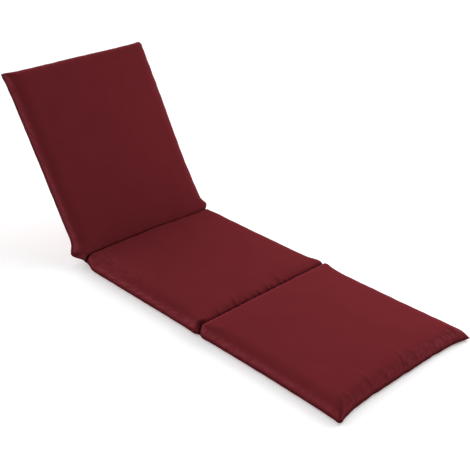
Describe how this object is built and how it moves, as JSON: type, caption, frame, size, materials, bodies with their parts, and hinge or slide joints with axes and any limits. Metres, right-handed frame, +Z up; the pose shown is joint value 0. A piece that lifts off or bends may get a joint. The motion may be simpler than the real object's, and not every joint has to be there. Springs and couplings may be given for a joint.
{
  "type": "sun lounger cushion",
  "caption": "Long padded lounger cushion in plain woven cloth, sewn across into foot, seat and back pads, with the back pad raised.",
  "frame": {"origin": "on the surface that the cushion lies on, under the middle of the box that holds the whole cushion", "axes": "+X across the width, +Y along the length from the foot end towards the raised back, +Z up"},
  "size_m": [0.6176, 1.6022, 0.6006],
  "materials": {
    "cover_cloth": "matt plain-weave canvas, burgundy"
  },
  "bodies": {
    "root": {"cushion": "cover_cloth"}
  },
  "joints": []
}
